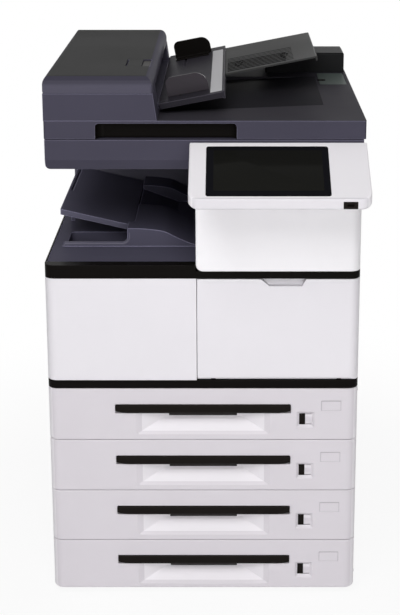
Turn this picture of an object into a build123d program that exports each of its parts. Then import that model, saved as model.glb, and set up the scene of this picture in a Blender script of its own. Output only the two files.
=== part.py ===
"""Floor-standing multifunction printer with four paper trays, a control panel and a document feeder.

Millimetres. X runs to the right, Y to the rear and Z up. While the pieces are drawn, Y is zero on the
front face of the trays and doors. When they are written, they move so that the origin is on the floor
under the middle of the whole machine.
"""
from build123d import *
import math
import os

# Main body
body_width = 600.0
body_depth = 640.0
corner_radius = 20.0
front_depth = 26.0
seam = 0.3
joint_line = 1.2
cover_wall = 3.0
sheet = 2.5
pin_clearance = 0.07

# Vents in the left and rear covers
side_vent_rows = 9
side_vent_pitch = 12.0
side_vent_y = (body_depth - 170.0, body_depth - 80.0)
rear_vent_places = (-220.0, -90.0)
rear_vent_rows = 8
rear_vent_pitch = 14.0
rear_vent_length = 100.0

# Heights of the storeys, from the floor up
foot_height = 14.0
tray_count = 4
tray_pitch = 107.3
band_height = 16.6
door_height = 205.2
lip_height = 26.0
deck_height = 13.3
column_height = 197.6
scanner_height = 57.3
lid_height = 36.1
feeder_base_height = 50.5
feeder_cover_height = 28.1
feeder_front_drop = 11.2
feeder_front_bevel = 32.0

# Levelling feet
foot_radius = 22.0
foot_inset_x = 50.0
foot_inset_y = 62.0
foot_neck_radius = 9.0

# Paper trays
pan_side_gap = 38.0
pan_rear_gap = 74.0
pan_half_width = body_width / 2 - pan_side_gap
pan_length = body_depth - front_depth - pan_rear_gap
pan_wall = 2.5
pan_floor = 3.0
pan_lift = 8.0
pan_height = 84.0
runner_width = 10.0
runner_height = 5.0
runner_level = 60.0
ledge_overlap = 8.0
fence_gap = 298.0
fence_height = 66.0
fence_places = ((-120.0, -60.0), (60.0, 120.0))
plate_left = -pan_half_width + 74.0
plate_right = pan_half_width - 57.0
plate_thickness = 2.0
plate_slot_half = 30.0
hinge_rod_radius = 2.5
guide_left = -pan_half_width + 50.0
guide_half_width = 26.0
guide_travel = 150.0
plate_ear_reach = fence_gap / 2 - 6.0

# Tray fronts
handle_half_width = 170.0
handle_top = 33.5
handle_height = 18.0
handle_depth = 7.0
handle_proud = 3.0
scoop_half_width = 130.0
scoop_end_run = 55.0
scoop_corner = 8.0
scoop_bottom = 11.3
scoop_depth = 20.0
latch_half_width = 66.0
latch_height = 6.1
dial_left = body_width / 2 - 118.3
dial_width = 34.3
dial_height = 33.5
dial_top = 49.0
dial_bevel = 5.0
dial_recess = 5.0
drum_radius = 22.0
drum_proud = 2.0
drum_rib_count = 9
drum_rib_step = 6.5
well_depth = 8.0
label_left = body_width / 2 - 71.0
label_width = 38.5
label_height = 20.6
label_top = 26.0

# Front door and the cover beside it
door_split = -11.0
door_pivot = 7.0
door_pin_radius = 2.5
door_knuckle_radius = 5.0
door_arm_width = 8.0
door_hinge_places = (20.0, body_width / 2 - 38.0)
notch_left = 109.5
notch_right = 197.4
notch_drop = 13.9
notch_depth = 13.0

# Side door with the bypass tray
side_door_front = 80.0
side_door_rear = body_depth - 80.0
side_door_thickness = 16.0
side_door_margin = 6.0
side_hinge_places = (side_door_front + 32.0, side_door_rear - 32.0)
bypass_front = 150.0
bypass_rear = side_door_rear - 60.0
bypass_low = 34.0
bypass_high = 168.0
bypass_thickness = 6.0

# Output shelf and exit tray
column_left = -12.6
shelf_wall = 3.0
shelf_rear = body_depth - 81.0
ramp_front = 130.0
channel_front = 315.0
channel_rear = 477.0
ramp_left = -138.0
ramp_peak = 35.9
pocket_right = -150.0
pocket_rear = 235.0
pocket_corner = 10.0
bead_width = 8.0
bead_height = 9.0
flap_left = -body_width / 2 + 13.5
flap_right = -140.6
flap_front = 182.0
flap_rear = shelf_rear - 7.0
flap_thickness = 11.5
flap_low = 27.6
flap_rise = 34.0
exit_span = (150.0, shelf_rear - 39.0)
exit_roller_count = 4
exit_roller_width = 22.0
exit_rise = 60.0
exit_shaft_radius = 3.0
exit_roller_radius = 9.0

# Engine behind the front door
toner_count = 4
toner_radius = 27.0
toner_pitch = 65.0
toner_left = 30.0
toner_length = 340.0
inner_cover_y = 40.0
guide_plate_x = body_width / 2 - 38.0

# Mains inlet and power switch
inlet_x = (body_width / 2 - 104.0, body_width / 2 - 16.0)
inlet_rise = (34.0, 66.0)
switch_x = (inlet_x[0] + 52.0, inlet_x[0] + 68.0)

# Control panel
panel_left = -22.5
panel_right = body_width / 2 + 5.0
panel_reach = 143.0
panel_rear = -3.0
panel_lip = 21.2
panel_slope_rise = 71.2
panel_top_below_seam = 4.3
panel_corner = 20.0
screen_left = 8.6
screen_right = panel_right - 72.5
screen_depth = 2.0
screen_corner = 5.0
panel_pivot_y = -16.0
panel_pivot_drop = 18.2
panel_pin_radius = 4.0
panel_knuckle_radius = 9.0
panel_lugs = ((60.0, 79.6), (120.4, 169.6), (210.4, 230.0))
bracket_knuckles = ((80.0, 120.0), (170.0, 210.0))
usb_x = (panel_right - 52.0, panel_right - 26.0)
usb_margin = (3.2, 4.6)

# Scanner and lid
scanner_left = -body_width / 2 + 9.0
scanner_right = body_width / 2
scanner_crease = 20.0
scanner_slope_back = 10.0
scanner_round = 9.0
platen_left = scanner_left + 107.0
platen_right = scanner_right - 28.0
platen_front = 110.0
platen_rear = 420.0
strip_left = scanner_left + 65.0
strip_right = scanner_left + 93.0
glass_thickness = 3.0
carriage_width = 34.0
carriage_rod_radius = 5.0
lid_left = -body_width / 2 + 8.0
lid_right = body_width / 2 + 4.0
lid_gap = 1.6
grip_left = lid_left + 95.0
grip_right = 65.0
grip_height = 29.5
grip_depth = 20.0
hinge_radius = 9.0
hinge_pin_radius = 4.0
hinge_y = body_depth + 12.0
hinge_x = body_width / 2 - 90.0
output_drop = 13.0
delivery_front = 84.0
delivery_skew = 70.0
delivery_rear = 470.0
delivery_right = lid_right - 69.0
hatch_x = (lid_right - 64.0, lid_right - 7.0)
pad_x = (lid_left + 58.0, lid_right - 24.0)
pad_y = (96.0, 434.0)
pad_thickness = 9.0
hinge_rise = 11.0

# Document feeder
feeder_top_right = lid_left + 202.3
feeder_foot_right = lid_left + 209.5
feeder_rear_radius = 19.0
feeder_hinge = 5.0
latch_left = feeder_top_right - 59.3
latch_right = feeder_top_right - 12.3
latch_front = 140.0
latch_rear = 220.0
feed_roller_radius = 11.0
feed_shaft_radius = 3.0
feeder_mouth = (98.0, body_depth - 40.0)
cover_hinge_places = (70.0, body_depth - 80.0)
pickup_x = feeder_top_right - 92.3
feed_x = feeder_top_right - 50.3
roller_rise = 32.0
roller_span = (290.0, 400.0)
tray_hinge_places = (84.0, body_depth - 24.0)
tray_pivot_x = feeder_foot_right + 8.5
tray_pivot_rise = 13.0
document_x = feeder_foot_right + 0.5
document_rise = 19.0
guide_slide = 100.0
guide_groove = (36.0, 42.0)
guide_groove_depth = 3.0
guide_fence = (16.0, 96.0)
front_guide_y = 118.0
rear_guide_y = 568.0
front_guide_slot = (front_guide_y - 6, front_guide_y + guide_slide + 20)
rear_guide_slot = (rear_guide_y - guide_slide - 20, rear_guide_y + 6)
document_slope = 11.0
document_front = 66.0
document_rear = body_depth - 10.0
document_length = 126.0
document_plate = 4.0
extension_front = 286.0
extension_length = 204.5
extension_rib_count = 6
extension_tuck = 16.0
extension_notch = (5.0, 20.0)
hinge_box_left = 130.0
hinge_box_front = body_depth - 116.0
hinge_box_rear = body_depth - 19.0
hinge_box_height = 42.3
hatch_y = (hinge_box_front - 146.0, hinge_box_front - 9.0)

# Levels worked out from the storeys
half_width = body_width / 2
z_body = foot_height
z_band = z_body + tray_count * tray_pitch
z_door = z_band + band_height
z_lip = z_door + door_height
z_shelf = z_lip + lip_height
z_deck = z_lip + deck_height
z_scanner = z_deck + column_height
z_seam = z_scanner + scanner_height
z_lid_bottom = z_seam + lid_gap
z_lid = z_seam + lid_height
z_feeder = z_lid + feeder_base_height
z_feeder_top = z_feeder + feeder_cover_height
inner_half = half_width - cover_wall - seam
chassis_front = front_depth + seam
chassis_rear = body_depth - cover_wall - seam
z_shelf_plate = z_door - 12.0
panel_top = z_seam - panel_top_below_seam
panel_front_top = panel_top - panel_slope_rise
usb_z = (panel_front_top - panel_lip + usb_margin[0], panel_front_top - usb_margin[1])
inlet_z = (z_body + inlet_rise[0], z_body + inlet_rise[1])
z_side_pivot = z_door + side_door_margin + door_pivot
exit_level = z_shelf + exit_rise
toner_z = z_door + 0.52 * door_height
hinge_z = z_lid_bottom + hinge_rise
roller_z = z_lid + roller_rise
tray_pivot = (tray_pivot_x, z_lid + tray_pivot_rise)
document_z = z_lid + document_rise
front_y = -(hinge_y + hinge_radius + 4.0 - panel_reach) / 2


def block(x, y, z):
    """Box between a pair of limits along each axis."""
    size = (x[1] - x[0], y[1] - y[0], z[1] - z[0])
    return Pos((x[0] + x[1]) / 2, (y[0] + y[1]) / 2, (z[0] + z[1]) / 2) * Box(*size)


def rod_x(y, z, radius, x):
    """Round bar along X."""
    return Pos((x[0] + x[1]) / 2, y, z) * Rot(0, 90, 0) * Cylinder(radius, x[1] - x[0])


def rod_y(x, z, radius, y):
    """Round bar along Y."""
    return Pos(x, (y[0] + y[1]) / 2, z) * Rot(90, 0, 0) * Cylinder(radius, y[1] - y[0])


def rod_z(x, y, radius, z):
    """Round bar along Z."""
    return Pos(x, y, (z[0] + z[1]) / 2) * Cylinder(radius, z[1] - z[0])


def outline(points, radii):
    """Closed line through the points, with each corner rounded to its own radius, or all corners sharp."""
    if radii is None:
        return Polyline(*points, close=True)
    return FilletPolyline(*points, radius=radii, close=True)


def profile_x(points, x, radii=None):
    """Outline of (y, z) points carried along X."""
    line = outline([(x[0], py, pz) for py, pz in points], radii)
    return extrude(make_face(line), amount=x[1] - x[0], dir=(1, 0, 0))


def profile_y(points, y, radii=None):
    """Outline of (x, z) points carried along Y."""
    line = outline([(px, y[0], pz) for px, pz in points], radii)
    return extrude(make_face(line), amount=y[1] - y[0], dir=(0, 1, 0))


def profile_z(points, z, radii=None):
    """Outline of (x, y) points carried along Z."""
    line = outline([(px, py, z[0]) for px, py in points], radii)
    return extrude(make_face(line), amount=z[1] - z[0], dir=(0, 0, 1))


def edges_along(shape, axis, x=None, y=None, z=None):
    """Edges parallel to an axis whose middle lies at the named coordinates."""
    found = shape.edges().filter_by(axis)
    if x is not None:
        found = found.filter_by(lambda edge: abs(edge.center().X - x) < 0.05)
    if y is not None:
        found = found.filter_by(lambda edge: abs(edge.center().Y - y) < 0.05)
    if z is not None:
        found = found.filter_by(lambda edge: abs(edge.center().Z - z) < 0.05)
    return found


def front_bar(x, z, left_round, right_round):
    """Front moulding that wraps the machine's rounded upright corners."""
    bar = block(x, (0, front_depth), z)
    if left_round:
        bar = fillet(edges_along(bar, Axis.Z, x=x[0], y=0), corner_radius)
    if right_round:
        bar = fillet(edges_along(bar, Axis.Z, x=x[1], y=0), corner_radius)
    return bar


def bar_hollow(x, z, left_round, right_round):
    """Space behind a front moulding's face, rounded where the moulding's own corner is round."""
    space = block(x, (4, front_depth + 1), z)
    if left_round:
        space = fillet(edges_along(space, Axis.Z, x=x[0], y=4), corner_radius - 8)
    if right_round:
        space = fillet(edges_along(space, Axis.Z, x=x[1], y=4), corner_radius - 8)
    return space


def tray_base(number):
    """Level of the underside of a tray's storey, counted from the top tray down."""
    return z_body + (tray_count - number) * tray_pitch


def chassis():
    """Welded sheet frame: base, side walls with tray ledges, rear wall, shelf, divider and top."""
    wide = (-inner_half, inner_half)
    deep = (chassis_front, chassis_rear)
    frame = block(wide, deep, (z_body, z_lip))
    inner = inner_half - sheet
    back = chassis_rear - sheet
    frame -= block((-inner, inner), (0, back), (z_body + sheet, z_shelf_plate))
    left_bay = (-inner, door_split - sheet)
    right_bay = (door_split, inner)
    for bay in (left_bay, right_bay):
        frame -= block(bay, (0, back), (z_shelf_plate + sheet, z_lip - sheet))
    ledge_in = pan_half_width + runner_width - ledge_overlap
    for number in range(1, tray_count + 1):
        top = tray_base(number) + pan_lift + runner_level - seam
        for side in (-1, 1):
            limits = sorted((side * ledge_in, side * (inner + 1)))
            frame += block(limits, (chassis_front + 8, back - 20), (top - sheet, top))
    guide = (guide_plate_x, guide_plate_x + sheet)
    frame += block(guide, (side_door_front - 20, side_door_rear + 20), (z_shelf_plate + 1, z_lip - 1))
    window_low = z_door + side_door_margin - 2
    frame -= block((inner - 1, inner_half + 1), (side_door_front - 2, side_door_rear + 2),
                   (window_low, z_lip - side_door_margin + 2))
    for x in door_hinge_places:
        arm = (x - door_arm_width / 2, x + door_arm_width / 2)
        level = z_door + joint_line / 2 + door_pivot
        reach = block(arm, (door_pivot, chassis_front + 1), (level - door_knuckle_radius, level + 3))
        root = block(arm, (chassis_front, chassis_front + sheet), (z_shelf_plate + 1, level + 3))
        frame += reach + root + rod_x(door_pivot, level, door_knuckle_radius, arm)
        frame -= rod_x(door_pivot, level, door_pin_radius + pin_clearance, (arm[0] - 1, arm[1] + 1))
    for y in side_hinge_places:
        arm = (y - door_arm_width / 2, y + door_arm_width / 2)
        pivot_x = half_width - door_pivot
        reach = block((guide_plate_x + 1, pivot_x), arm, (z_side_pivot - door_knuckle_radius, z_side_pivot + 3))
        frame += reach + rod_y(pivot_x, z_side_pivot, door_knuckle_radius, arm)
        frame -= rod_y(pivot_x, z_side_pivot, door_pin_radius + pin_clearance, (arm[0] - 1, arm[1] + 1))
    frame -= block(inlet_x, (back - 1, chassis_rear + 1), inlet_z)
    return frame


def levelling_feet():
    """Four screw feet: a broad rubber pad under a neck that meets the frame."""
    feet = []
    for x in (-half_width + foot_inset_x, half_width - foot_inset_x):
        for y in (foot_inset_y, body_depth - foot_inset_y):
            pad = rod_z(x, y, foot_radius, (0, foot_height - 5))
            pad = chamfer(pad.edges().filter_by(GeomType.CIRCLE).sort_by(Axis.Z)[-1], 2.5)
            feet.append(pad + rod_z(x, y, foot_neck_radius, (foot_height - 6, foot_height)))
    return Compound(children=feet)


def side_cover(side):
    """Side wall skin with a turned edge along the rear."""
    outer = side * half_width
    inner = side * (half_width - cover_wall)
    x = sorted((outer, inner))
    deep = (front_depth + seam, body_depth)
    skin = block(x, deep, (z_body, z_lip))
    turned = sorted((outer, side * (half_width - 14)))
    skin += block(turned, (body_depth - cover_wall, body_depth), (z_body, z_lip))
    return fillet(edges_along(skin, Axis.Z, x=outer, y=body_depth), cover_wall - 0.2)


def left_cover():
    """Left side wall with the fan's slots near the rear."""
    skin = side_cover(-1)
    for row in range(side_vent_rows):
        low = z_door + 40 + row * side_vent_pitch
        skin -= block((-half_width - 1, -half_width + 4), side_vent_y, (low, low + 5))
    return skin


def right_cover():
    """Right side wall with the window of the side door."""
    skin = side_cover(1)
    window = (z_door + side_door_margin - 1, z_lip - side_door_margin + 1)
    skin -= block((half_width - 4, half_width + 1), (side_door_front - 1, side_door_rear + 1), window)
    return skin


def rear_cover():
    """Rear wall skin with vent slots and the cut-out of the mains inlet."""
    edge = half_width - 14 - seam
    skin = block((-edge, edge), (body_depth - cover_wall, body_depth), (z_body, z_scanner - 1))
    for left in rear_vent_places:
        for row in range(rear_vent_rows):
            low = z_body + 90 + row * rear_vent_pitch
            skin -= block((left, left + rear_vent_length), (body_depth - 4, body_depth + 1), (low, low + 6))
    skin -= block(inlet_x, (body_depth - 4, body_depth + 1), inlet_z)
    return skin


def tray_pan(number):
    """Open paper tray: floor, four walls, side runners, paper fences and the hinge ears."""
    base = tray_base(number) + pan_lift
    back = front_depth + pan_length
    wide = (-pan_half_width, pan_half_width)
    pan = block(wide, (front_depth, back), (base, base + pan_height))
    floor = base + pan_floor
    pan -= block((wide[0] + pan_wall, wide[1] - pan_wall), (front_depth + pan_wall, back - pan_wall),
                 (floor, base + pan_height + 1))
    for side in (-1, 1):
        limits = sorted((side * (pan_half_width - 1), side * (pan_half_width + runner_width)))
        level = base + runner_level
        pan += block(limits, (front_depth + 10, back), (level, level + runner_height))
    middle = front_depth + pan_length / 2
    for side in (-1, 1):
        y = middle + side * (fence_gap / 2 + 1)
        for fence in fence_places:
            pan += block(fence, (y - 1.2, y + 1.2), (floor - 1, floor + fence_height))
        ear = (middle + side * plate_ear_reach - 2.5, middle + side * plate_ear_reach + 2.5)
        pan += block((plate_left - 5, plate_left + 5), ear, (floor - 1, floor + 8))
        pan -= rod_y(plate_left, floor + 4, hinge_rod_radius + pin_clearance, (ear[0] - 1, ear[1] + 1))
    slot = (guide_left + 2, guide_left + guide_travel + 14)
    pan -= block(slot, (middle - 4, middle + 4), (base - 1, floor + 1))
    notch_z = (base + runner_level + 8, base + pan_height + 1)
    pan -= block((pan_half_width - 4, pan_half_width + 1), (middle - 110, middle + 110), notch_z)
    return pan


def lift_plate(number):
    """Plate that lifts the stack's right end to the feed rollers, with two stub rods as its hinge."""
    floor = tray_base(number) + pan_lift + pan_floor
    middle = front_depth + pan_length / 2
    half = plate_ear_reach - 4
    low = floor + 1.5
    plate = block((plate_left, plate_right), (middle - half, middle + half), (low, low + plate_thickness))
    plate -= block((plate_left - 1, guide_left + guide_travel + 20),
                   (middle - plate_slot_half, middle + plate_slot_half), (floor, floor + 6))
    for side in (-1, 1):
        ends = sorted((middle + side * (half - 40), middle + side * (plate_ear_reach + 2.5)))
        plate += rod_y(plate_left, floor + 4, hinge_rod_radius, ends)
    plate = plate + block((plate_right - 12, plate_right), (middle - half, middle + half), (low, low + 3.5))
    return plate


def end_guide(number):
    """Stop for the trailing edge of the stack, on a tongue that runs in the floor's slot."""
    base = tray_base(number) + pan_lift
    floor = base + pan_floor
    middle = front_depth + pan_length / 2
    y = (middle - guide_half_width, middle + guide_half_width)
    stop = block((guide_left, guide_left + 3), y, (floor + seam, floor + fence_height))
    stop += block((guide_left, guide_left + 12), y, (floor + seam, floor + 4))
    side = [(guide_left + 2, floor + 3), (guide_left + 12, floor + 3), (guide_left + 2, floor + 40)]
    web = profile_y(side, (middle - 2, middle + 2))
    tongue = block((guide_left + 3, guide_left + 12), (middle - 3.7, middle + 3.7), (base, floor + 1))
    return stop + web + tongue


def tray_front(number):
    """Drawer front with the handle's pocket, the sloping finger scoop and the size window."""
    low = tray_base(number) + joint_line / 2
    high = tray_base(number) + tray_pitch - joint_line / 2
    top = tray_base(number) + tray_pitch
    front = front_bar((-half_width, half_width), (low, high), True, True)
    lower_round = 6.0 if number == tray_count else 1.5
    front = fillet(front.faces().sort_by(Axis.Z)[0].edges().sort_by(Axis.Y)[0:4], lower_round)
    front = chamfer(front.faces().sort_by(Axis.Z)[-1].edges().sort_by(Axis.Y)[0], 1.2)
    bar_low = top - handle_top - handle_height
    bottom = tray_base(number) + scoop_bottom
    scoop = profile_x([(-1, bottom), (0, bottom), (scoop_depth, bottom + 30), (scoop_depth, bar_low + 9),
                       (scoop_depth - 6, top - handle_top - 3), (-1, top - handle_top - 3)],
                      (-scoop_half_width, scoop_half_width))
    inner = scoop_half_width - scoop_end_run
    half = scoop_half_width
    plan = [(-half, -1), (half, -1), (half, 0), (inner, scoop_depth), (inner, scoop_depth + 1),
            (-inner, scoop_depth + 1), (-inner, scoop_depth), (-half, 0)]
    scoop = scoop & profile_z(plan, (bottom - 1, top))
    face = [(-half, bottom), (half, bottom), (half, top), (-half, top)]
    scoop = scoop & profile_y(face, (-2, scoop_depth + 2), [scoop_corner, scoop_corner, 0, 0])
    front -= scoop
    gap = 0.2
    pocket_x = (-handle_half_width - gap, handle_half_width + gap)
    front -= block(pocket_x, (-1, handle_depth), (bar_low - gap, top - handle_top + gap))
    front = size_window(front, top)
    label_z = (top - label_top - label_height, top - label_top)
    front -= block((label_left, label_left + label_width), (-1, 0.6), label_z)
    for side in (-1, 1):
        limits = sorted((side * (handle_half_width + 6), side * (half_width - 9)))
        front -= block(limits, (6, front_depth + 1), (low + 5, high - 4))
    return front


def size_window(front, top):
    """Cuts the bevelled window of the paper size into a drawer front, with a ribbed drum at its right."""
    middle_x = dial_left + dial_width / 2
    middle_z = top - dial_top - dial_height / 2
    mouth = Pos(middle_x, 0, middle_z) * Rot(90, 0, 0) * Rectangle(dial_width, dial_height)
    back = Pos(middle_x, dial_recess, middle_z) * Rot(90, 0, 0)
    back *= Rectangle(dial_width - 2 * dial_bevel, dial_height - 2 * dial_bevel)
    front -= loft([mouth, back])
    well_x = (dial_left + dial_bevel, dial_left + dial_width - dial_bevel)
    well_z = (middle_z - dial_height / 2 + dial_bevel, middle_z + dial_height / 2 - dial_bevel)
    front -= block(well_x, (dial_recess - 1, dial_recess + well_depth), well_z)
    drum_x = (middle_x - 0.5, well_x[1] + 1)
    drum_y = dial_recess + drum_radius - drum_proud
    drum = rod_x(drum_y, middle_z, drum_radius, drum_x)
    drum = drum & block(drum_x, (0, dial_recess + well_depth + 1), (well_z[0] - 1, well_z[1] + 1))
    for step in range(drum_rib_count):
        angle = math.radians((step - (drum_rib_count - 1) / 2) * drum_rib_step)
        y = drum_y - drum_radius * math.cos(angle)
        z = middle_z + drum_radius * math.sin(angle)
        drum -= rod_x(y, z, 0.6, (drum_x[0] - 1, drum_x[1] + 1))
    return front + drum


def tray_handle(number):
    """Black grip bar with chamfered ends and the latch lip under its middle."""
    top = tray_base(number) + tray_pitch - handle_top
    low = top - handle_height
    half = handle_half_width
    shape = [(-half, top - 4), (-half + 9, top), (half - 9, top), (half, top - 4), (half, low + 5),
             (half - 24, low), (-half + 24, low), (-half, low + 5)]
    bar = profile_y(shape, (-handle_proud, handle_depth))
    bar = chamfer(edges_along(bar, Axis.X, y=-handle_proud), 2.2)
    tip = low - latch_height
    side = [(2 - handle_proud, low + 0.5), (handle_depth, low + 0.5), (handle_depth, tip), (handle_depth - 3, tip)]
    lip = profile_x(side, (-latch_half_width, latch_half_width))
    return bar + lip


def waist_band():
    """Gloss black band between the trays and the doors."""
    band = front_bar((-half_width, half_width), (z_band + 0.2, z_door - 0.2), True, True)
    return band


def front_left_cover():
    """Fixed white cover left of the door, hollow behind."""
    high = z_lip - 0.2
    cover = front_bar((-half_width, door_split - joint_line / 2), (z_door, high), True, False)
    return cover - bar_hollow((-half_width + 6, door_split - 5), (z_door + 4, high - 4), True, False)


def front_door():
    """Right-hand door: hollow moulding with a pull notch, a barrel bottom edge and two hinge slots."""
    low = z_door + joint_line / 2
    high = z_lip - joint_line
    x = (door_split + joint_line / 2, half_width)
    door = front_bar(x, (low, high), False, True)
    pivot_z = low + door_pivot
    section = [(0, low), (0, high), (front_depth, high), (front_depth, low + 7), (front_depth - 7, low)]
    door = door & profile_x(section, (x[0] - 1, x[1] + 1), [door_pivot, 0, 0, 0, 0])
    hollow = bar_hollow((x[0] + 4, x[1] - 6), (low + 18, high - 4), False, True)
    hollow -= block((notch_left - 6, notch_right + 6), (0, notch_depth + 3), (high - notch_drop - 4, high))
    door -= hollow
    floor = high - notch_drop
    notch = [(notch_left, high + 1), (notch_right, high + 1), (notch_right - 8, floor), (notch_left + 17, floor)]
    door -= profile_y(notch, (-1, notch_depth))
    for place in door_hinge_places:
        slot = (place - door_arm_width / 2 - seam, place + door_arm_width / 2 + seam)
        door -= block(slot, (1.4, front_depth + 1), (low - 1, pivot_z + door_knuckle_radius + 1))
        door += rod_x(door_pivot, pivot_z, door_pin_radius, (slot[0] - 1, slot[1] + 1))
    return door


def side_door():
    """Right side door over the paper path, with the bypass tray's recess and paper slot."""
    low = z_door + side_door_margin
    high = z_lip - side_door_margin
    x = (half_width - side_door_thickness, half_width)
    y = (side_door_front, side_door_rear)
    pivot_x = half_width - door_pivot
    section = [(x[1], low), (x[1], high), (x[0], high), (x[0], low + 6), (x[0] + 3, low)]
    door = profile_y(section, y, [door_pivot, 0, 0, 0, 0])
    door = chamfer(edges_along(door, Axis.Z, x=x[1]), 1.0)
    recess_z = (low + bypass_low - 0.5, low + bypass_high + 14)
    door -= block((half_width - bypass_thickness - 1, half_width + 1), (bypass_front - 0.5, bypass_rear + 0.5), recess_z)
    door -= block((x[0] - 1, half_width), (bypass_front + 20, bypass_rear - 20),
                  (low + bypass_low + 12, low + bypass_low + 22))
    bypass_x = half_width - bypass_thickness / 2
    bypass_z = low + bypass_low + bypass_thickness / 2
    door -= rod_y(bypass_x, bypass_z, 1.5 + pin_clearance, (bypass_front - 5, bypass_rear + 5))
    for place in side_hinge_places:
        slot = (place - door_arm_width / 2 - seam, place + door_arm_width / 2 + seam)
        door -= block((x[0] - 1, half_width - 1.4), slot, (low - 1, z_side_pivot + door_knuckle_radius + 1))
        door += rod_y(pivot_x, z_side_pivot, door_pin_radius, (slot[0] - 1, slot[1] + 1))
    return door


def bypass_tray():
    """Fold-down tray for odd paper, closed flush in the side door."""
    low = z_door + side_door_margin + bypass_low
    high = z_door + side_door_margin + bypass_high
    x = (half_width - bypass_thickness, half_width)
    leaf = block(x, (bypass_front, bypass_rear), (low, high))
    leaf = fillet(edges_along(leaf, Axis.Y, z=low), bypass_thickness / 2 - 0.1)
    middle = (bypass_front + bypass_rear) / 2
    leaf -= block((x[1] - 2, x[1] + 1), (middle - 40, middle + 40), (high - 14, high + 1))
    pivot = (half_width - bypass_thickness / 2, low + bypass_thickness / 2)
    leaf += rod_y(pivot[0], pivot[1], 1.5, (bypass_front - 4, bypass_front + 2))
    leaf += rod_y(pivot[0], pivot[1], 1.5, (bypass_rear - 2, bypass_rear + 4))
    return leaf


def lip_trim():
    """Gloss black rim of the deck: high on the left, low under the column, with side strips."""
    low = front_bar((-half_width, half_width), (z_lip, z_deck - 0.2), True, True)
    high = front_bar((-half_width, column_left - 0.6), (z_lip, z_shelf), True, False)
    rim = low + high
    left = (-half_width, -half_width + cover_wall)
    right = (half_width - cover_wall, half_width)
    rim += block(left, (front_depth - 1, body_depth), (z_lip, z_shelf))
    rim += block(right, (front_depth - 1, body_depth), (z_lip, z_deck - 0.2))
    return rim


def ramp_curve(lowered):
    """Rounded back of the output ramp as (x, z) points, from its left end down to the column."""
    peak = z_shelf + ramp_peak - lowered
    right = column_left - 0.6
    points = [(ramp_left, peak), (-91, peak - 3.5), (-72, peak - 8), (-60, peak - 14.4), (-40, peak - 24)]
    return points + [(-20, peak - 32), (right, peak - 33.5)]


def ramp(y, lowered, foot):
    """Solid ramp with its back on one smooth curve, down to the level of its foot."""
    points = [(x, y[0], z) for x, z in ramp_curve(lowered)]
    back = Spline(*points, tangents=[(1, 0, 0), (1, 0, -0.2)])
    end = points[-1]
    sides = Polyline(end, (end[0], y[0], foot), (points[0][0], y[0], foot), points[0])
    return extrude(make_face([back, sides]), amount=y[1] - y[0], dir=(0, 1, 0))


def pocket_bead(left, level, y):
    """Low rounded bead along the pocket's front, which turns up in an arc into the ramp's end."""
    top = level + bead_height
    high = top + 2 * pocket_corner
    path = [(left, level - 2), (left, top), (pocket_right, top), (pocket_right, high),
            (pocket_right + bead_width, high), (pocket_right + bead_width, level - 2)]
    bead = profile_y(path, y, [0, 5, pocket_corner, 0, 0, 0])
    rims = bead.edges().filter_by(lambda edge: min(abs(edge.center().Y - side) for side in y) < 0.01)
    rims = rims.filter_by(lambda edge: edge.center().Z > level - 1 and edge.center().X < pocket_right + 0.4)
    return fillet(rims, bead_width / 2 - 0.5)


def output_shelf():
    """Dark output deck: flat front, two rounded ramps, a sunk channel and a pocket behind a low bead."""
    left = -inner_half
    right = column_left - 0.6
    flat = z_shelf - 1.0
    deck = block((left, right), (chassis_front, shelf_rear), (z_lip, flat))
    hollow = flat - shelf_wall
    deck -= block((left + shelf_wall, right - shelf_wall), (ramp_front + 10, shelf_rear - shelf_wall),
                  (z_lip - 1, hollow))
    for y in ((ramp_front, channel_front), (channel_rear, shelf_rear)):
        deck += ramp(y, 0, flat - 2)
    cheek = (ramp_front, flap_front - 2)
    deck += block((-150, ramp_left + 1), cheek, (flat - 2, z_shelf + ramp_peak))
    inner = [(x, z - shelf_wall) for x, z in ramp_curve(0)]
    inside = [(ramp_left + shelf_wall, z_lip - 1), (ramp_left + shelf_wall, inner[0][1])] + inner[1:-1]
    inside = inside + [(right - shelf_wall, inner[-1][1]), (right - shelf_wall, z_lip - 1)]
    deck -= profile_y(inside, (ramp_front + shelf_wall, channel_front - shelf_wall))
    deck -= profile_y(inside, (channel_rear + shelf_wall, shelf_rear - shelf_wall))
    channel = [(ramp_left, flat - 2), (ramp_left, z_shelf + 27.9), (-60, flat), (-60, flat - 2)]
    deck += profile_y(channel, (channel_front - 1, channel_rear + 1))
    pocket_left = flap_left + 16.0
    bead_y = (ramp_front, ramp_front + bead_width)
    deck += block((pocket_left - 3, pocket_right + 1), (bead_y[0] + 2, pocket_rear + 3), (z_lip, flat - 1))
    deck += pocket_bead(pocket_left - bead_width, flat, bead_y)
    pocket = block((pocket_left, pocket_right), (bead_y[1], pocket_rear), (z_lip + 3, flat + 1))
    deck -= fillet(edges_along(pocket, Axis.Z), pocket_corner)
    return deck


def exit_tray():
    """Sloping wing of the output tray, standing on two ribs above the deck's pocket."""
    right_top = z_shelf + flap_low
    left_top = right_top + flap_rise
    shape = [(flap_left, left_top), (flap_right, right_top), (flap_right, right_top - flap_thickness),
             (flap_left, left_top - flap_thickness)]
    wing = profile_y(shape, (flap_front, flap_rear))
    deck = z_shelf - 1.0
    for y in (320, flap_rear - 12):
        wing += block((flap_left + 6, flap_left + 14), (y, y + 8), (deck, left_top - flap_thickness + 1))
        wing += block((flap_right - 14, flap_right - 6), (y, y + 8), (deck, right_top - flap_thickness + 5))
    wing -= block((flap_left + 5, flap_left + 9), (340, flap_rear - 20), (left_top - 6, left_top + 1))
    return wing


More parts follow.
